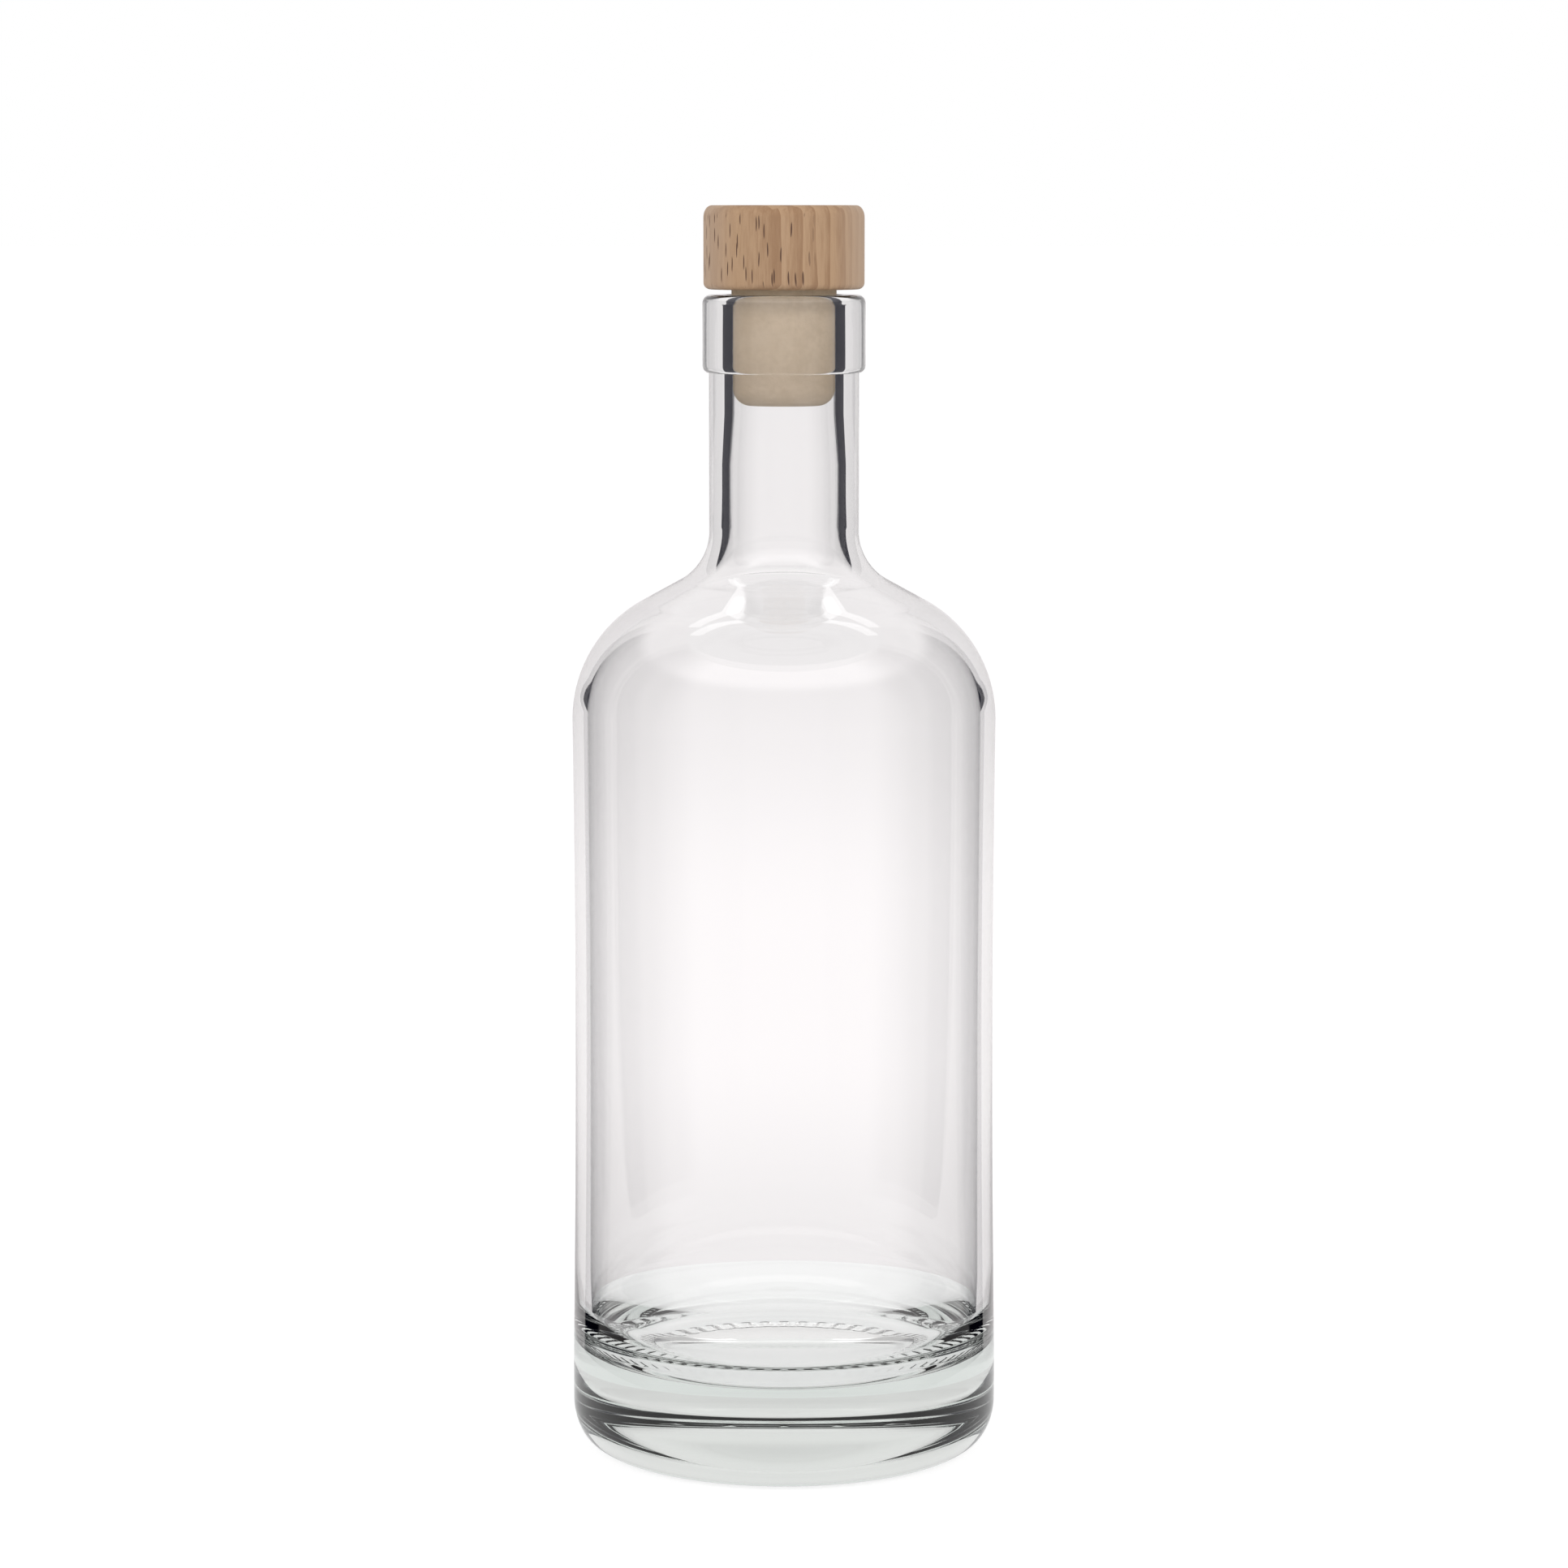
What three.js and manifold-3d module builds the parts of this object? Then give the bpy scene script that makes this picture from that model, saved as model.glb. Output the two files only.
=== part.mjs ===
// A clear glass spirit bottle with a heavy base, closed by a stopper: a turned beech head
// glued to a moulded cork shank. Millimetres, +Z up. The origin is the middle of the ring
// of lands that the bottle stands on.

import * as THREE from "three";
import { mergeVertices } from "three/addons/utils/BufferGeometryUtils.js";
import Module from "manifold-3d";

// Bottle, outside
const BASE_RADIUS = 38.6; // body just above the heel
const SHOULDER_RADIUS = 38.2; // body just below the shoulder
const WAIST_DEPTH = 0.45; // the label panel is drawn in by a long shallow arc
const PANEL_FOOT = 16.5; // height where the panel starts
const SHOULDER_START = 133.3; // height where it ends and the wall starts to turn in
const SHOULDER_ROUND = 24.2;
const SHOULDER_SLOPE = THREE.MathUtils.degToRad(28.7); // of the straight stretch below the neck
const NECK_RADIUS = 13.45;
const NECK_ROUND = 10.1; // hollow round between the shoulder's slope and the neck
const BOTTLE_HEIGHT = 209.4;

// Finish, the thick band at the mouth
const COLLAR_RADIUS = 14.6;
const COLLAR_HEIGHT = 13.9;
const COLLAR_ROUND = 1.3; // its lower edge
const LIP_OUTER_ROUND = 1.5;
const LIP_INNER_ROUND = 2;

// Bottle, inside
const BORE_RADIUS = 9.25;
const BORE_DEPTH = 21.1; // straight part of the bore, below the lip
const NECK_BORE_RADIUS = 9.85;
const BORE_EASE = 9; // height of the taper from the bore to the wider neck
const WALL = 2.6;
const SHOULDER_WALL = 3;
const BASE_THICKNESS = 16.5; // height of the flat inside floor
const FLOOR_ROUND_WIDTH = 12; // the wide easy round between wall and floor
const FLOOR_ROUND_HEIGHT = 10.5;

// Base, underside
const HEEL_WIDTH = 5.8;
const HEEL_HEIGHT = 8.3;
const RING_WIDTH = 3.6; // flat ring that carries the bottle
const PUNT_STEP = 0.8; // height of the small step inside the ring
const PUNT_RISE = 3.4; // height of the hollow at its middle
const KNURL_COUNT = 54;
const KNURL_WIDTH = 1.1;
const KNURL_DEPTH = 0.35;

// Stopper
const HEAD_RADIUS = 14.4;
const HEAD_HEIGHT = 14.9;
const HEAD_TOP_EASE = 1.5; // width of the eased edge round the top
const HEAD_TOP_DROP = 2.2; // and its height
const HEAD_FOOT_ROUND = 1.2;
const HEAD_LIFT = 0.95; // air between the lip and the head when the stopper is in
const SHANK_LENGTH = 20.6; // from the head's underside to its tip
const SHANK_TIP_ROUND = 3.2;
const SHANK_CLEARANCE = 0.1; // to the bore
const SHANK_SWELL = 0.25; // the shank springs back by this above the lip
const SWELL_LENGTH = 0.6; // height over which it does
const SOCKET_DEPTH = 3; // shank glued this far into the head
const GLUE_LINE = 0.1;

// How finely round shapes are divided
const SEGMENTS = 64;
const LARGE_ARC_STEPS = 8;
const ARC_STEPS = 5;
const SMALL_ARC_STEPS = 3;
const PANEL_STEPS = 5;

const INNER_RADIUS = SHOULDER_RADIUS - WALL;
const RING_OUTER_RADIUS = BASE_RADIUS - HEEL_WIDTH;
const RING_INNER_RADIUS = RING_OUTER_RADIUS - RING_WIDTH;
const COLLAR_FOOT = BOTTLE_HEIGHT - COLLAR_HEIGHT;
const HEAD_FOOT = BOTTLE_HEIGHT + HEAD_LIFT;
const SHANK_RADIUS = BORE_RADIUS - SHANK_CLEARANCE;
const SWOLLEN_RADIUS = SHANK_RADIUS + SHANK_SWELL;
const SOCKET_RADIUS = SWOLLEN_RADIUS + GLUE_LINE;

const QUARTER = Math.PI / 2;

// Points on an elliptic arc about (r, z), from one angle to another, ends included.
function arc(r, z, width, height, from, to, steps) {
  return Array.from({ length: steps + 1 }, (_, i) => {
    const angle = from + ((to - from) * i) / steps;
    return new THREE.Vector2(r + width * Math.cos(angle), z + height * Math.sin(angle));
  });
}

function point(r, z) {
  return new THREE.Vector2(r, z);
}

// A profile of (radius, height) points turned about Z, as one closed geometry.
function turned(profile) {
  const clean = profile.filter((p, i) => i === 0 || p.distanceTo(profile[i - 1]) > 1e-4);
  const geometry = new THREE.LatheGeometry(clean, SEGMENTS);
  geometry.rotateX(QUARTER);
  return geometry;
}

// The shoulder: a round that starts on the wall, a straight slope, and a hollow round into the neck.
function shoulder(wallRadius, start, round, neckRadius, neckRound) {
  const lean = QUARTER - SHOULDER_SLOPE;
  const large = arc(wallRadius - round, start, round, round, 0, lean, LARGE_ARC_STEPS);
  const slopeTop = large[large.length - 1];
  const hollowCentre = neckRadius + neckRound;
  const hollowFoot = hollowCentre - neckRound * Math.cos(lean);
  const slopeRise = (slopeTop.x - hollowFoot) * Math.tan(SHOULDER_SLOPE);
  const neckFoot = slopeTop.y + slopeRise + neckRound * Math.sin(lean);
  const hollow = arc(hollowCentre, neckFoot, neckRound, neckRound, Math.PI + lean, Math.PI, ARC_STEPS);
  return [...large, ...hollow];
}

function labelPanel() {
  return Array.from({ length: PANEL_STEPS + 1 }, (_, i) => {
    const along = i / PANEL_STEPS;
    const radius = THREE.MathUtils.lerp(BASE_RADIUS, SHOULDER_RADIUS, along);
    const inset = WAIST_DEPTH * Math.sin(Math.PI * along);
    return point(radius - inset, THREE.MathUtils.lerp(PANEL_FOOT, SHOULDER_START, along));
  });
}

function underside() {
  const dome = Array.from({ length: ARC_STEPS }, (_, i) => {
    const r = (RING_INNER_RADIUS - PUNT_STEP) * (i / ARC_STEPS);
    const share = r / (RING_INNER_RADIUS - PUNT_STEP);
    return point(r, PUNT_RISE - (PUNT_RISE - PUNT_STEP) * share ** 2);
  });
  return [
    ...dome,
    point(RING_INNER_RADIUS - PUNT_STEP, PUNT_STEP),
    point(RING_INNER_RADIUS, 0),
    ...arc(RING_OUTER_RADIUS, HEEL_HEIGHT, HEEL_WIDTH, HEEL_HEIGHT, -QUARTER, 0, ARC_STEPS),
  ];
}

function finish() {
  const neckRound = COLLAR_RADIUS - NECK_RADIUS;
  const collarEdge = COLLAR_FOOT + COLLAR_ROUND;
  return [
    ...arc(NECK_RADIUS, collarEdge, neckRound, COLLAR_ROUND, -QUARTER, 0, SMALL_ARC_STEPS),
    ...arc(
      COLLAR_RADIUS - LIP_OUTER_ROUND, BOTTLE_HEIGHT - LIP_OUTER_ROUND,
      LIP_OUTER_ROUND, LIP_OUTER_ROUND, 0, QUARTER, SMALL_ARC_STEPS,
    ),
    ...arc(
      BORE_RADIUS + LIP_INNER_ROUND, BOTTLE_HEIGHT - LIP_INNER_ROUND,
      LIP_INNER_ROUND, LIP_INNER_ROUND, QUARTER, Math.PI, SMALL_ARC_STEPS,
    ),
  ];
}

function inside() {
  const boreFoot = BOTTLE_HEIGHT - BORE_DEPTH;
  const neckRound = NECK_ROUND + NECK_RADIUS - NECK_BORE_RADIUS;
  const cavity = shoulder(
    INNER_RADIUS, SHOULDER_START, SHOULDER_ROUND - SHOULDER_WALL,
    NECK_BORE_RADIUS, neckRound,
  ).reverse();
  return [
    point(BORE_RADIUS, boreFoot),
    point(NECK_BORE_RADIUS, boreFoot - BORE_EASE),
    ...cavity,
    ...arc(
      INNER_RADIUS - FLOOR_ROUND_WIDTH, BASE_THICKNESS + FLOOR_ROUND_HEIGHT,
      FLOOR_ROUND_WIDTH, FLOOR_ROUND_HEIGHT, 0, -QUARTER, ARC_STEPS + 1,
    ),
    point(0, BASE_THICKNESS),
  ];
}

// One groove of the ring, laid across it from the hollow to the heel.
function knurlCutter(index) {
  const length = RING_WIDTH + 2 * KNURL_DEPTH;
  const cutter = new THREE.BoxGeometry(length, KNURL_WIDTH, 2 * KNURL_DEPTH);
  cutter.translate(RING_INNER_RADIUS + RING_WIDTH / 2, 0, 0);
  cutter.rotateZ(((index + 0.5) * 2 * Math.PI) / KNURL_COUNT);
  return cutter;
}

const wasm = await Module();
wasm.setup();

function toSolid(geometry) {
  const bare = geometry.clone();
  bare.deleteAttribute("normal");
  bare.deleteAttribute("uv");
  const merged = mergeVertices(bare, 1e-4);
  const mesh = new wasm.Mesh({
    numProp: 3,
    vertProperties: new Float32Array(merged.attributes.position.array),
    triVerts: new Uint32Array(merged.index.array),
  });
  return new wasm.Manifold(mesh);
}

function fromSolid(solid) {
  const mesh = solid.getMesh();
  const geometry = new THREE.BufferGeometry();
  geometry.setAttribute("position", new THREE.BufferAttribute(mesh.vertProperties, 3));
  geometry.setIndex(new THREE.BufferAttribute(mesh.triVerts, 1));
  geometry.computeVertexNormals();
  return geometry;
}

// The blown bottle: one wall of glass from the hollow of its base, round the lip, to its inside floor.
function bottleGeometry() {
  const wall = turned([
    ...underside(),
    ...labelPanel(),
    ...shoulder(SHOULDER_RADIUS, SHOULDER_START, SHOULDER_ROUND, NECK_RADIUS, NECK_ROUND),
    ...finish(),
    ...inside(),
  ]);
  let solid = toSolid(wall);
  for (let i = 0; i < KNURL_COUNT; i += 1) {
    solid = solid.subtract(toSolid(knurlCutter(i)));
  }
  return fromSolid(solid);
}

// The beech head, turned with eased edges, with a blind socket for the shank in its underside.
function headGeometry() {
  const top = HEAD_FOOT + HEAD_HEIGHT;
  const socketTop = HEAD_FOOT + SOCKET_DEPTH + GLUE_LINE;
  return turned([
    point(0, socketTop),
    point(SOCKET_RADIUS, socketTop),
    point(SOCKET_RADIUS, HEAD_FOOT),
    ...arc(
      HEAD_RADIUS - HEAD_FOOT_ROUND, HEAD_FOOT + HEAD_FOOT_ROUND,
      HEAD_FOOT_ROUND, HEAD_FOOT_ROUND, -QUARTER, 0, SMALL_ARC_STEPS,
    ),
    ...arc(
      HEAD_RADIUS - HEAD_TOP_EASE, top - HEAD_TOP_DROP,
      HEAD_TOP_EASE, HEAD_TOP_DROP, 0, QUARTER, ARC_STEPS,
    ),
    point(0, top),
  ]);
}

// The shank: a plug with a rounded tip, gripped by the bore and sprung back to size above the lip.
function shankGeometry() {
  const tip = HEAD_FOOT - SHANK_LENGTH;
  return turned([
    point(0, tip),
    ...arc(
      SHANK_RADIUS - SHANK_TIP_ROUND, tip + SHANK_TIP_ROUND,
      SHANK_TIP_ROUND, SHANK_TIP_ROUND, -QUARTER, 0, ARC_STEPS,
    ),
    point(SHANK_RADIUS, BOTTLE_HEIGHT - SWELL_LENGTH),
    point(SWOLLEN_RADIUS, BOTTLE_HEIGHT),
    point(SWOLLEN_RADIUS, HEAD_FOOT + SOCKET_DEPTH),
    point(0, HEAD_FOOT + SOCKET_DEPTH),
  ]);
}

const glass = new THREE.MeshStandardMaterial({
  color: 0xe9efec, roughness: 0.02, metalness: 0, transparent: true, opacity: 0.35,
});
const beech = new THREE.MeshStandardMaterial({ color: 0xc3a283, roughness: 0.62, metalness: 0 });
const cork = new THREE.MeshStandardMaterial({ color: 0xcdb697, roughness: 0.75, metalness: 0 });

function named(name, geometry, material) {
  const mesh = new THREE.Mesh(geometry, material);
  mesh.name = name;
  return mesh;
}

const stopper = new THREE.Group();
stopper.add(named("stopper_head", headGeometry(), beech));
stopper.add(named("stopper_shank", shankGeometry(), cork));

const bottle = new THREE.Group();
bottle.add(named("glass_bottle", bottleGeometry(), glass));
bottle.add(stopper);

export default bottle;
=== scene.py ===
"""The looks of a clear glass bottle closed by a stopper of turned beech and moulded cork.

Everything is in metres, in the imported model's frame: +Z up, the standing ring at height 0.
"""

import math

import bpy
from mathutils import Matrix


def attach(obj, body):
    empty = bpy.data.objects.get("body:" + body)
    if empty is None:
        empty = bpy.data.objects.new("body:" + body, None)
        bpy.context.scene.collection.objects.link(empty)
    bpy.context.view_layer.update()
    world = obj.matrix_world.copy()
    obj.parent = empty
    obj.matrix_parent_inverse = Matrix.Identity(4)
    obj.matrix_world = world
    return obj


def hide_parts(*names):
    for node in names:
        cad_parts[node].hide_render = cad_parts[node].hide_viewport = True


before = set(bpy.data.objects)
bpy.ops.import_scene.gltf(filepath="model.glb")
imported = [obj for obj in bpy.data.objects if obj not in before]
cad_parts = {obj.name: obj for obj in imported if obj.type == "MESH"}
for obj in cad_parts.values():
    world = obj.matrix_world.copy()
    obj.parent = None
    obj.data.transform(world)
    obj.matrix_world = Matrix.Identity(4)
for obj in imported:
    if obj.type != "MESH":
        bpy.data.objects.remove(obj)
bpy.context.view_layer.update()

# Camera
# It stands level with the stopper, a little over 0.8 m away, and looks down at the middle of the
# bottle. The lens is a long one, so the bottle's sides stay upright.
QUARTER = math.pi / 2
CAMERA_DISTANCE = 0.835
CAMERA_HEIGHT = 0.224
CAMERA_TILT = math.radians(7.014)
CAMERA_LENS = 106.69

bpy.ops.object.select_all(action="DESELECT")
bpy.ops.object.camera_add(
    location=(0, -CAMERA_DISTANCE, CAMERA_HEIGHT), rotation=(QUARTER - CAMERA_TILT, 0, 0)
)
camera = bpy.context.object
camera.data.lens = CAMERA_LENS
bpy.context.scene.camera = camera
bpy.context.scene.view_settings.view_transform = "Standard"


# Studio
# A white sweep lit from all round, as for a packshot. Behind the bottle all is white. To its left and
# right stand black flags, which draw the dark lines in the thick glass. The cloth tent, its flags and
# two soft boxes are seen only in glass and gloss, and go round with the camera.
class Wire:
    """One output socket of a node tree. Sums on it add Math nodes."""

    def __init__(self, tree, socket=None):
        self.tree = tree
        self.socket = socket

    def node(self, kind, settings, inputs, output=0):
        """Adds a node, sets it up, feeds its sockets with values or wires, and gives back one output."""
        made = self.tree.nodes.new(kind)
        for name, value in settings.items():
            setattr(made, name, value)
        for name, value in inputs.items():
            if isinstance(value, Wire):
                self.tree.links.new(value.socket, made.inputs[name])
            else:
                made.inputs[name].default_value = value
        return Wire(self.tree, made.outputs[output])

    def sum(self, operation, *values):
        return self.node("ShaderNodeMath", {"operation": operation}, dict(enumerate(values)))

    def __add__(self, other):
        return self.sum("ADD", self, other)

    def __radd__(self, other):
        return self.sum("ADD", other, self)

    def __sub__(self, other):
        return self.sum("SUBTRACT", self, other)

    def __rsub__(self, other):
        return self.sum("SUBTRACT", other, self)

    def __mul__(self, other):
        return self.sum("MULTIPLY", self, other)

    def __rmul__(self, other):
        return self.sum("MULTIPLY", other, self)

    def __truediv__(self, other):
        return self.sum("DIVIDE", self, other)

    def __rtruediv__(self, other):
        return self.sum("DIVIDE", other, self)

    def at_most(self, other):
        return self.sum("MINIMUM", self, other)

    def between(self, low, high):
        """0 below low, 1 above high, and a smooth step in between."""
        settings = {"interpolation_type": "SMOOTHSTEP"}
        ends = {"Value": self, "From Min": low, "From Max": high}
        return self.node("ShaderNodeMapRange", settings, ends)

    def mix(self, first, second):
        """The number first where this wire is 0, and second where it is 1."""
        return self * second + (1 - self) * first

    def blend(self, first, second):
        """The colour first where this wire is 0, and second where it is 1."""
        settings = {"data_type": "RGBA"}
        return self.node("ShaderNodeMix", settings, {0: self, 6: first, 7: second}, 2)


def new_material(name):
    material = bpy.data.materials.new(name)
    material.use_nodes = True
    material.node_tree.nodes.clear()
    return material, Wire(material.node_tree)


def put_out(tree, **shaders):
    """Joins shaders to the material's or the world's output."""
    owner = "World" if isinstance(tree.tree.id_data, bpy.types.World) else "Material"
    output = tree.tree.nodes.new(f"ShaderNodeOutput{owner}")
    for name, shader in shaders.items():
        tree.tree.links.new(shader.socket, output.inputs[name])


WHITE = (1, 1, 1, 1)


def rays(tree, *kinds):
    """1 for rays of the kinds named, and 0 for all others."""
    found = sum(tree.node("ShaderNodeLightPath", {}, {}, f"Is {kind} Ray") for kind in kinds)
    return found.at_most(1)


# The room's light is even and plain. It looks white itself, and a little greyer in glass and gloss.
DOME = 0.62
OVERHEAD = 0.92

world = bpy.data.worlds.new("studio")
bpy.context.scene.world = world
world.use_nodes = True
world.node_tree.nodes.clear()
sky = Wire(world.node_tree)
seen = rays(sky, "Camera") * (1 - DOME)
mirrored = rays(sky, "Glossy", "Transmission") * (OVERHEAD - DOME)
sky_light = {"Color": WHITE, "Strength": DOME + seen + mirrored}
put_out(sky, Surface=sky.node("ShaderNodeBackground", {}, sky_light))

# The floor is white paper. Part of its light is its own, so that the shadow on it stays faint. Glass
# shows the paper with a painted shade, a little greyer where the bottle stands on it.
MM = 0.001
FLOOR_SIZE = 60
FLOOR_DROP = 0.05 * MM
PAPER_SHARE = 0.62
PAPER_SHARE_IN_GLASS = 0.85
PAPER_GLOW = 1.25
PAPER_SHADE_NEAR = 0.90
PAPER_SHADE_FAR = 0.94
SHADE_START = 30 * MM
SHADE_END = 60 * MM

bpy.ops.mesh.primitive_plane_add(size=FLOOR_SIZE, location=(0, 0, -FLOOR_DROP))
floor = bpy.context.object
floor.name = "floor"
paper, tree = new_material("white_paper")
place = tree.node("ShaderNodeTexCoord", {}, {}, "Object")
away = tree.node("ShaderNodeVectorMath", {"operation": "LENGTH"}, {0: place}, "Value")
# Painted shade: seen in glass, the paper is darker close to the bottle and lighter further out.
shade = PAPER_SHADE_NEAR + (PAPER_SHADE_FAR - PAPER_SHADE_NEAR) * away.between(SHADE_START, SHADE_END)
glow = rays(tree, "Camera").mix(shade, PAPER_GLOW)
lit = tree.node("ShaderNodeBsdfDiffuse", {}, {"Color": WHITE}, "BSDF")
bright = tree.node("ShaderNodeEmission", {}, {"Color": glow, "Strength": 1}, "Emission")
in_glass = rays(tree, "Glossy", "Transmission")
share = rays(tree, "Camera") * PAPER_SHARE + in_glass * PAPER_SHARE_IN_GLASS
put_out(tree, Surface=tree.node("ShaderNodeMixShader", {}, {0: share, 1: lit, 2: bright}))
floor.data.materials.append(paper)

# A tent stands round the bottle. Its cloth curves up from the paper like a bowl. It is bright behind
# the bottle. A black flag stands on the left and on the right, then the cloth is grey, and on the
# camera's side it is white, most so at the top. Angles are in degrees from straight behind.
TURN = 2 * math.pi
TENT_FOOT_RADIUS = 0.10
TENT_RADIUS = 0.25
TENT_FOOT = 0.3 * MM
TENT_BEND = 0.12
TENT_TOP = 0.50
BOWL_STEPS = 16
TENT_STEPS = 96
BACK_MIDDLE = 0.96
BACK_FALL = 0.04
BACK_ANGLES = (8, 28)
WALL_GLOW = 0.90
LOW_GAIN = 0.15
LOW_HEIGHTS = (0.06, 0.125)
FOOT_LOSS = 0.13
FOOT_HEIGHTS = (0, 0.035)
SIDE_GREY = 0.4
FRONT_WALL = 1.05
FRONT_ANGLES = (105, 125)
FRONT_GLOW = 2.2
TOP_ANGLES = (95, 120)
TOP_HEIGHTS = (0.29, 0.35)
CLOTH = (1, 0.968, 0.975, 1)
FLAG = (0.006, 0.006, 0.018, 1)
FLAG_START = 39.4
FLAG_EDGE = 1.5
FLAG_END_ANGLES = (73, 77)
FLAG_FLARE = 6
FLARE_HEIGHTS = (0.125, 0.138)
FOOT_FLARE = 5
FOOT_FLARE_HEIGHTS = (0.142, 0.17)
INSIDE_RADIUS = 35.6 * MM
SAME_PLACE = 1e-6


def arc(r, z, width, height, start, end, steps):
    """Points (radius, height) on an elliptic arc about (r, z), both ends included."""
    angles = [start + (end - start) * i / steps for i in range(steps + 1)]
    return [(r + width * math.cos(a), z + height * math.sin(a)) for a in angles]


def turned(name, outline, segments):
    """Draws an outline of (radius, height) points edge by edge and spins it round Z."""
    corners = [p for p, q in zip(outline, outline[1:]) if math.dist(p, q) > SAME_PLACE]
    corners.append(outline[-1])
    bpy.ops.object.select_all(action="DESELECT")
    bpy.ops.mesh.primitive_plane_add(size=MM, location=(0, 0, 0))
    piece = bpy.context.object
    piece.name = name
    bpy.ops.object.mode_set(mode="EDIT")
    bpy.ops.mesh.select_all(action="SELECT")
    bpy.ops.mesh.merge(type="CENTER")
    bpy.ops.transform.translate(value=(corners[0][0], 0, corners[0][1]))
    for (r, z), (next_r, next_z) in zip(corners, corners[1:]):
        step = {"value": (next_r - r, 0, next_z - z)}
        bpy.ops.mesh.extrude_region_move(TRANSFORM_OT_translate=step)
    bpy.ops.mesh.select_all(action="SELECT")
    bpy.ops.mesh.spin(steps=segments, angle=TURN, center=(0, 0, 0), axis=(0, 0, 1))
    bpy.ops.mesh.select_all(action="SELECT")
    bpy.ops.mesh.remove_doubles(threshold=SAME_PLACE)
    bpy.ops.mesh.normals_make_consistent(inside=False)
    bpy.ops.object.mode_set(mode="OBJECT")
    bpy.ops.object.shade_smooth_by_angle(angle=math.radians(50))
    return piece


bowl_width = TENT_RADIUS - TENT_FOOT_RADIUS
bowl_height = TENT_BEND - TENT_FOOT
bowl = arc(TENT_FOOT_RADIUS, TENT_BEND, bowl_width, bowl_height, -QUARTER, 0, BOWL_STEPS)
tent = turned("tent", bowl + [(TENT_RADIUS, TENT_TOP)], TENT_STEPS)
tent_cloth, tree = new_material("tent_cloth")
place = tree.node("ShaderNodeTexCoord", {}, {}, "Object")
side, depth, height = (tree.node("ShaderNodeSeparateXYZ", {}, {0: place}, i) for i in range(3))
angle = tree.sum("ARCTAN2", tree.sum("ABSOLUTE", side), depth) * (360 / TURN)
fall = BACK_MIDDLE - angle.between(*BACK_ANGLES) * BACK_FALL
low = 1 - height.between(*LOW_HEIGHTS)
foot = 1 - height.between(*FOOT_HEIGHTS)
rise = WALL_GLOW + LOW_GAIN * low - FOOT_LOSS * foot
past = angle.between(*FLAG_END_ANGLES)
front = angle.between(*FRONT_ANGLES).mix(SIDE_GREY, FRONT_WALL)
walls = past.mix(fall * rise, front)
high = height.between(*TOP_HEIGHTS)
top = angle.between(*TOP_ANGLES).mix(OVERHEAD, FRONT_GLOW)
# The flags' inner edges follow the lines that graze the bottle's inside wall, so they show at one
# place in the glass at every height. The flags are wider above the body, and widest just above it.
away = tree.sum("SQRT", side * side + depth * depth)
sight = angle - tree.sum("ARCSINE", INSIDE_RADIUS / away) * (360 / TURN)
flare = FLAG_FLARE + FOOT_FLARE * (1 - height.between(*FOOT_FLARE_HEIGHTS))
flag_edge = sight + height.between(*FLARE_HEIGHTS) * flare
flag = flag_edge.between(FLAG_START, FLAG_START + FLAG_EDGE) * (1 - past)
colour = (flag * (1 - high)).blend(CLOTH, FLAG)
scale = {0: colour, "Scale": high.mix(walls, top)}
shown = tree.node("ShaderNodeVectorMath", {"operation": "SCALE"}, scale)
cloth_glow = tree.node("ShaderNodeEmission", {}, {"Color": shown, "Strength": 1}, "Emission")
put_out(tree, Surface=cloth_glow)
tent.data.materials.append(tent_cloth)


def studio_sheet(sheet):
    """Fixes a sheet to the camera and hides it from all but glass and gloss."""
    sheet.parent = camera
    sheet.matrix_parent_inverse = camera.matrix_basis.inverted()
    sheet.visible_camera = False
    sheet.visible_diffuse = False
    sheet.visible_shadow = False


studio_sheet(tent)


def aim(thing, target):
    """Turns a lamp or a soft box to face a point."""
    away = thing.location.copy()
    for axis in range(3):
        away[axis] -= target[axis]
    thing.rotation_euler = away.to_track_quat("Z", "Y").to_euler()


# Two soft boxes hang behind and above it, left and right, for the pale corners of the shoulder. Two
# lamps stand in front, left and right, and light the wood and the cork.
AIM = (0, 0, 0.15)
BOX_GLOW = 2.5
BOX_SIDE = 0.18
BOX_BACK = 0.26
BOX_HEIGHT = 0.66
BOX_SIZE = (0.24, 0.055, 1)
LAMP_WATTS = 6
LAMP_SIDE = 0.9
LAMP_FRONT = 0.5
LAMP_HEIGHT = 0.75
LAMP_SIZE = (0.5, 0.7)

for side, name in ((-1, "left"), (1, "right")):
    bpy.ops.object.select_all(action="DESELECT")
    place = (side * BOX_SIDE, BOX_BACK, BOX_HEIGHT)
    bpy.ops.mesh.primitive_plane_add(size=1, location=place)
    box = bpy.context.object
    box.name = f"{name}_box_face"
    box.scale = BOX_SIZE
    aim(box, AIM)
    bpy.ops.object.transform_apply(location=True, rotation=True, scale=True)
    face, tree = new_material(f"{name}_box_face")
    box_light = {"Color": WHITE, "Strength": BOX_GLOW}
    put_out(tree, Surface=tree.node("ShaderNodeEmission", {}, box_light, "Emission"))
    box.data.materials.append(face)
    studio_sheet(box)
    place = (side * LAMP_SIDE, -LAMP_FRONT, LAMP_HEIGHT)
    bpy.ops.object.light_add(type="AREA", location=place)
    lamp = bpy.context.object
    lamp.name = f"{name}_lamp"
    lamp.data.shape = "RECTANGLE"
    lamp.data.size, lamp.data.size_y = LAMP_SIZE
    lamp.data.energy = LAMP_WATTS
    lamp.visible_glossy = False
    lamp.visible_transmission = False
    aim(lamp, AIM)

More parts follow.
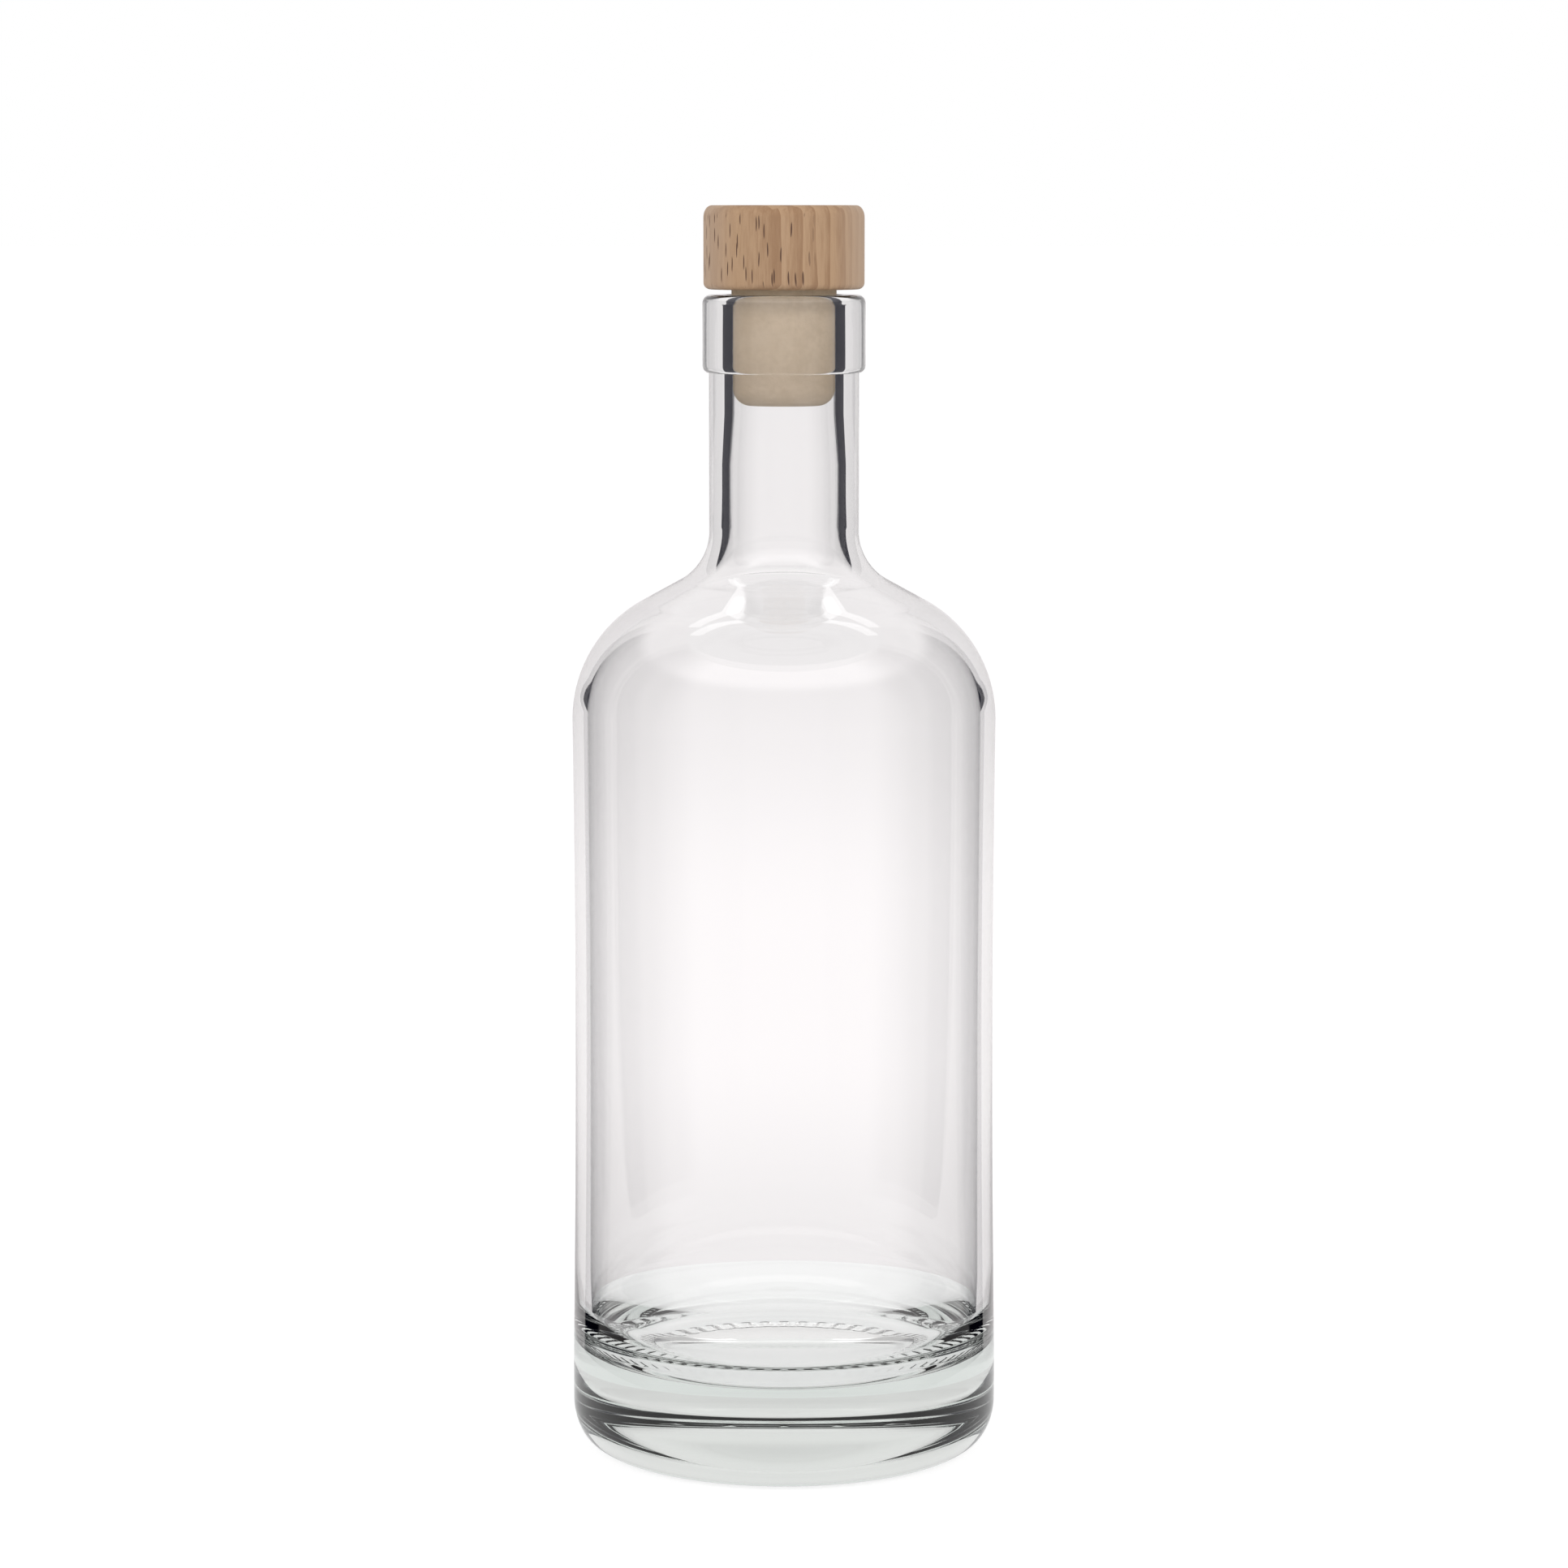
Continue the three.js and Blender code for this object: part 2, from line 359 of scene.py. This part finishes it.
# Glass bottle
# Blown clear glass, one piece: a heavy base with a hollow and a knurled ring underneath, a body with
# its label panel drawn in a little, a round shoulder, a straight neck and a band round the mouth.
# The outer skin was shaped by the mould. The inner skin was only blown, so it is a little uneven.
BASE_RADIUS = 38.6 * MM
SHOULDER_RADIUS = 38.2 * MM
WAIST_DEPTH = 0.45 * MM
PANEL_FOOT = 16.5 * MM
SHOULDER_START = 133.3 * MM
SHOULDER_ROUND = 24.2 * MM
SHOULDER_SLOPE = math.radians(28.7)
NECK_RADIUS = 13.45 * MM
NECK_ROUND = 10.1 * MM
BOTTLE_HEIGHT = 209.4 * MM
COLLAR_RADIUS = 14.6 * MM
COLLAR_HEIGHT = 13.9 * MM
COLLAR_ROUND = 1.3 * MM
LIP_OUTER_ROUND = 1.5 * MM
LIP_INNER_ROUND = 2 * MM
BORE_RADIUS = 9.25 * MM
BORE_DEPTH = 21.1 * MM
BORE_EASE = 9 * MM
NECK_BORE_RADIUS = 9.85 * MM
WALL = 2.6 * MM
SHOULDER_WALL = 3 * MM
BASE_THICKNESS = 16.5 * MM
FLOOR_ROUND_WIDTH = 12 * MM
FLOOR_ROUND_HEIGHT = 10.5 * MM
HEEL_WIDTH = 5.8 * MM
HEEL_HEIGHT = 8.3 * MM
RING_WIDTH = 3.6 * MM
PUNT_STEP = 0.8 * MM
PUNT_RISE = 3.4 * MM
KNURL_COUNT = 54
KNURL_DEPTH = 0.35 * MM
STEPS_PER_KNURL = 6
RING_OUTER = BASE_RADIUS - HEEL_WIDTH
RING_INNER = RING_OUTER - RING_WIDTH


def line(start, end, steps):
    """Points between two points, both ends included."""
    shares = [i / steps for i in range(steps + 1)]
    return [(start[0] + (end[0] - start[0]) * s, start[1] + (end[1] - start[1]) * s) for s in shares]


def shoulder(wall_radius, start, rounding, neck_radius, neck_round):
    """A round that starts on the wall, a straight slope, and a hollow round into the neck."""
    lean = QUARTER - SHOULDER_SLOPE
    large = arc(wall_radius - rounding, start, rounding, rounding, 0, lean, 36)
    top_r, top_z = large[-1]
    centre = neck_radius + neck_round
    foot_r = centre - neck_round * math.cos(lean)
    foot_z = top_z + (top_r - foot_r) * math.tan(SHOULDER_SLOPE)
    neck_foot = foot_z + neck_round * math.sin(lean)
    return large + arc(centre, neck_foot, neck_round, neck_round, math.pi + lean, math.pi, 20)


def underside():
    """The hollow, the step at its rim, the flat ring and the heel."""
    dome_radius = RING_INNER - PUNT_STEP
    shares = [i / 24 for i in range(25)]
    dome = [(dome_radius * s, PUNT_RISE - (PUNT_RISE - PUNT_STEP) * s**2) for s in shares]
    heel = arc(RING_OUTER, HEEL_HEIGHT, HEEL_WIDTH, HEEL_HEIGHT, -QUARTER, 0, 20)
    return dome + line((RING_INNER, 0), (RING_OUTER, 0), 5) + heel


def label_panel():
    shares = [i / 16 for i in range(17)]
    return [
        (
            BASE_RADIUS + (SHOULDER_RADIUS - BASE_RADIUS) * s - WAIST_DEPTH * math.sin(math.pi * s),
            PANEL_FOOT + (SHOULDER_START - PANEL_FOOT) * s,
        )
        for s in shares
    ]


def mouth_band():
    swell = COLLAR_RADIUS - NECK_RADIUS
    edge = BOTTLE_HEIGHT - COLLAR_HEIGHT + COLLAR_ROUND
    outer = LIP_OUTER_ROUND
    inner = LIP_INNER_ROUND
    return (
        arc(NECK_RADIUS, edge, swell, COLLAR_ROUND, -QUARTER, 0, 8)
        + arc(COLLAR_RADIUS - outer, BOTTLE_HEIGHT - outer, outer, outer, 0, QUARTER, 8)
        + arc(BORE_RADIUS + inner, BOTTLE_HEIGHT - inner, inner, inner, QUARTER, math.pi, 8)
    )


def inner_skin():
    inner_radius = SHOULDER_RADIUS - WALL
    bore_foot = BOTTLE_HEIGHT - BORE_DEPTH
    hollow = NECK_ROUND + NECK_RADIUS - NECK_BORE_RADIUS
    vault = shoulder(
        inner_radius, SHOULDER_START, SHOULDER_ROUND - SHOULDER_WALL, NECK_BORE_RADIUS, hollow
    )
    floor_radius = inner_radius - FLOOR_ROUND_WIDTH
    round_top = BASE_THICKNESS + FLOOR_ROUND_HEIGHT
    corner = arc(floor_radius, round_top, FLOOR_ROUND_WIDTH, FLOOR_ROUND_HEIGHT, 0, -QUARTER, 20)
    floor = line((floor_radius, BASE_THICKNESS), (0, BASE_THICKNESS), 10)
    bore = [(BORE_RADIUS, bore_foot), (NECK_BORE_RADIUS, bore_foot - BORE_EASE)]
    wall = line(vault[0], corner[0], 16)
    return bore + vault[::-1] + wall + corner + floor


bottle = turned(
    "bottle_glass",
    underside()
    + label_panel()
    + shoulder(SHOULDER_RADIUS, SHOULDER_START, SHOULDER_ROUND, NECK_RADIUS, NECK_ROUND)
    + mouth_band()
    + inner_skin(),
    KNURL_COUNT * STEPS_PER_KNURL,
)


def knurl(piece):
    """Presses shallow grooves across the standing ring."""
    slack = 0.01 * MM
    for vertex in piece.data.vertices:
        x, y, z = vertex.co
        r = math.hypot(x, y)
        if RING_INNER - slack < r < RING_OUTER + slack and z < slack:
            wave = math.cos(KNURL_COUNT * math.atan2(y, x))
            vertex.co.z = KNURL_DEPTH * max(0, -wave)


knurl(bottle)

GLASS_IOR = 1.52
GLASS_TINT = (0.565, 0.64, 0.595, 1)
TINT_DENSITY = 10
RIPPLE_SCALE = 40
RIPPLE_STRENGTH = 0.012

clear_glass, tree = new_material("clear_glass")
ripple = tree.node(
    "ShaderNodeTexNoise",
    {},
    {
        "Vector": tree.node("ShaderNodeTexCoord", {}, {}, "Object"),
        "Scale": RIPPLE_SCALE,
        "Detail": 0,
        "Roughness": 0.4,
    },
)
swell = {"Strength": RIPPLE_STRENGTH, "Distance": 1 * MM, "Height": ripple}
uneven = tree.node("ShaderNodeBump", {}, swell)
body = tree.node(
    "ShaderNodeBsdfPrincipled",
    {},
    {
        "Base Color": WHITE,
        "Roughness": 0,
        "IOR": GLASS_IOR,
        "Transmission Weight": 1,
        "Normal": uneven,
    },
)
tint = tree.node("ShaderNodeVolumeAbsorption", {}, {"Color": GLASS_TINT, "Density": TINT_DENSITY})
put_out(tree, Surface=body, Volume=tint)
bottle.data.materials.append(clear_glass)
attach(bottle, "bottle")
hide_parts("glass_bottle")

# Stopper's shank
# A plug of moulded cork with a rounded tip, squeezed by the bore and sprung back above the lip. Its
# top is glued into the head.
HEAD_LIFT = 0.95 * MM
SHANK_LENGTH = 20.6 * MM
SHANK_TIP_ROUND = 3.2 * MM
SHANK_CLEARANCE = 0.1 * MM
SHANK_SWELL = 0.25 * MM
SWELL_LENGTH = 0.6 * MM
SOCKET_DEPTH = 3 * MM
GLUE_LINE = 0.1 * MM
HEAD_FOOT = BOTTLE_HEIGHT + HEAD_LIFT
SHANK_RADIUS = BORE_RADIUS - SHANK_CLEARANCE
SWOLLEN_RADIUS = SHANK_RADIUS + SHANK_SWELL

shank_tip = HEAD_FOOT - SHANK_LENGTH
shank_top = HEAD_FOOT + SOCKET_DEPTH
tip = arc(
    SHANK_RADIUS - SHANK_TIP_ROUND, shank_tip + SHANK_TIP_ROUND,
    SHANK_TIP_ROUND, SHANK_TIP_ROUND, -QUARTER, 0, 12,
)
squeezed_foot = (SHANK_RADIUS, shank_tip + 1.5 * SHANK_TIP_ROUND)
squeezed = line(squeezed_foot, (SHANK_RADIUS, BOTTLE_HEIGHT - SWELL_LENGTH), 8)
swollen = [(SWOLLEN_RADIUS, BOTTLE_HEIGHT), (SWOLLEN_RADIUS, shank_top), (0, shank_top)]
shank = turned("stopper_shank_cork", [(0, shank_tip)] + tip + squeezed + swollen, 128)

CORK_LIGHT = (0.71, 0.565, 0.395, 1)
CORK_DARK = (0.64, 0.50, 0.335, 1)
CORK_CLOUDS = 260
CORK_GRAINS = 1300
CORK_ROUGHNESS = 0.75
CORK_RELIEF = 0.3
RELIEF_DEPTH = 0.2 * MM


def noise(tree, place, scale, detail, roughness):
    settings = {"Vector": place, "Scale": scale, "Detail": detail, "Roughness": roughness}
    return tree.node("ShaderNodeTexNoise", {}, settings)


cork, tree = new_material("moulded_cork")
place = tree.node("ShaderNodeTexCoord", {}, {}, "Object")
cloudy = noise(tree, place, CORK_CLOUDS, 3, 0.55)
grains = noise(tree, place, CORK_GRAINS, 4, 0.7)
mottle = (cloudy * 0.55 + grains * 0.45).between(0.38, 0.62)
relief = {"Strength": CORK_RELIEF, "Distance": RELIEF_DEPTH, "Height": grains}
pores = tree.node("ShaderNodeBump", {}, relief)
skin = tree.node(
    "ShaderNodeBsdfPrincipled",
    {},
    {"Base Color": mottle.blend(CORK_DARK, CORK_LIGHT), "Roughness": CORK_ROUGHNESS, "Normal": pores},
)
put_out(tree, Surface=skin)
shank.data.materials.append(cork)
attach(shank, "stopper")
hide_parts("stopper_shank")

# Stopper's head
# A short cylinder of beech, turned with its grain along the axis and its edges eased, bare of
# varnish, with a blind socket underneath for the shank.
HEAD_RADIUS = 14.4 * MM
HEAD_HEIGHT = 14.9 * MM
HEAD_TOP_EASE = 1.5 * MM
HEAD_TOP_DROP = 2.2 * MM
HEAD_FOOT_ROUND = 1.2 * MM

head_top = HEAD_FOOT + HEAD_HEIGHT
socket_radius = SWOLLEN_RADIUS + GLUE_LINE
socket_top = shank_top + GLUE_LINE
socket = [(0, socket_top), (socket_radius, socket_top), (socket_radius, HEAD_FOOT)]
foot_edge = arc(
    HEAD_RADIUS - HEAD_FOOT_ROUND, HEAD_FOOT + HEAD_FOOT_ROUND,
    HEAD_FOOT_ROUND, HEAD_FOOT_ROUND, -QUARTER, 0, 8,
)
top_edge = arc(
    HEAD_RADIUS - HEAD_TOP_EASE, head_top - HEAD_TOP_DROP,
    HEAD_TOP_EASE, HEAD_TOP_DROP, 0, QUARTER, 10,
)
head = turned("stopper_head_beech", socket + foot_edge + top_edge + [(0, head_top)], 160)

BEECH_LIGHT = (0.385, 0.243, 0.137, 1)
BEECH_DARK = (0.265, 0.148, 0.074, 1)
# The next colour is a painted sheen, the greyer look of the head's left and right sides.
BEECH_PAINTED_SHEEN = (0.40, 0.285, 0.20, 1)
BEECH_RAY = (0.075, 0.032, 0.016, 1)
BEECH_ROUGHNESS = 0.6
BEECH_RELIEF = 0.35
STREAKS = 1700
BANDS = 260
WANDER = 220
FIBRE_STRETCH = 0.09
GROWTH_RING = 2.6 * MM
SHEEN_START = 0.55 * HEAD_RADIUS
SHEEN_END = 0.95 * HEAD_RADIUS
# The rays are thin ribbons that run in from the bark, which was at the front and to the left. Seen end
# on they are short dark flecks. They fade out where the surface runs along them, and at the edges.
BARK_SIDE = math.radians(35)
RAY_WIDTH = 0.85 * MM
RAY_RATIO = 0.085
RAY_MARGIN = 1.6 * MM
FLECK_EDGE = (0.10, 0.155)

beech, tree = new_material("beech")
place = tree.node("ShaderNodeTexCoord", {}, {}, "Object")
turn = tree.node("ShaderNodeMapping", {}, {"Vector": place, "Rotation": (0, 0, BARK_SIDE)})
across, inward, up = (tree.node("ShaderNodeSeparateXYZ", {}, {0: turn}, i) for i in range(3))
# Fibres and vessels run up the head, so the pattern is drawn out along Z.
along = tree.node("ShaderNodeMapping", {}, {"Vector": turn, "Scale": (1, 1, FIBRE_STRETCH)})
streaks = noise(tree, along, STREAKS, 4, 0.65)
bands = noise(tree, along, BANDS, 2, 0.5)
wander = noise(tree, place, WANDER, 1, 0.5)
bent = across / RAY_WIDTH + (wander - 0.5) * 0.5
spot = tree.node("ShaderNodeCombineXYZ", {}, {0: bent, 1: up * (RAY_RATIO / RAY_WIDTH), 2: 0})
cells = {"voronoi_dimensions": "2D", "feature": "F1"}
scatter = {"Vector": spot, "Scale": 1, "Randomness": 1}
flecks = tree.node("ShaderNodeTexVoronoi", cells, scatter, "Distance")
off_axis = tree.sum("ABSOLUTE", across)
faces_bark = 1 - off_axis.between(0.72 * HEAD_RADIUS, 0.88 * HEAD_RADIUS)
above_foot = up.between(HEAD_FOOT, HEAD_FOOT + RAY_MARGIN)
below_top = 1 - up.between(head_top - HEAD_TOP_DROP, head_top - 0.5 * HEAD_TOP_DROP)
ray = (1 - flecks.between(*FLECK_EDGE)) * faces_bark * above_foot * below_top
# A growth ring every few millimetres inwards, pale first and darker at its end.
ring_place = inward / GROWTH_RING + bands * 1.6
ring = tree.sum("FRACT", ring_place + 40)
tone = streaks * 0.45 + bands * 0.25 + (1 - ring * 0.8) * 0.3
middle = tone.between(0.36, 0.66).blend(BEECH_DARK, BEECH_LIGHT)
# Painted sheen: the wood is drawn greyer to the left and to the right, where the light grazes it.
sideways = tree.sum("ABSOLUTE", tree.node("ShaderNodeSeparateXYZ", {}, {0: place}, 0))
painted_sheen = sideways.between(SHEEN_START, SHEEN_END)
wood_tone_and_sheen = (painted_sheen * (0.55 + tone * 0.4)).blend(middle, BEECH_PAINTED_SHEEN)
relief = {"Strength": BEECH_RELIEF, "Distance": RELIEF_DEPTH, "Height": streaks - ray}
grain = tree.node("ShaderNodeBump", {}, relief)
skin = tree.node(
    "ShaderNodeBsdfPrincipled",
    {},
    {"Base Color": ray.blend(wood_tone_and_sheen, BEECH_RAY), "Roughness": BEECH_ROUGHNESS, "Normal": grain},
)
put_out(tree, Surface=skin)
head.data.materials.append(beech)
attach(head, "stopper")
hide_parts("stopper_head")
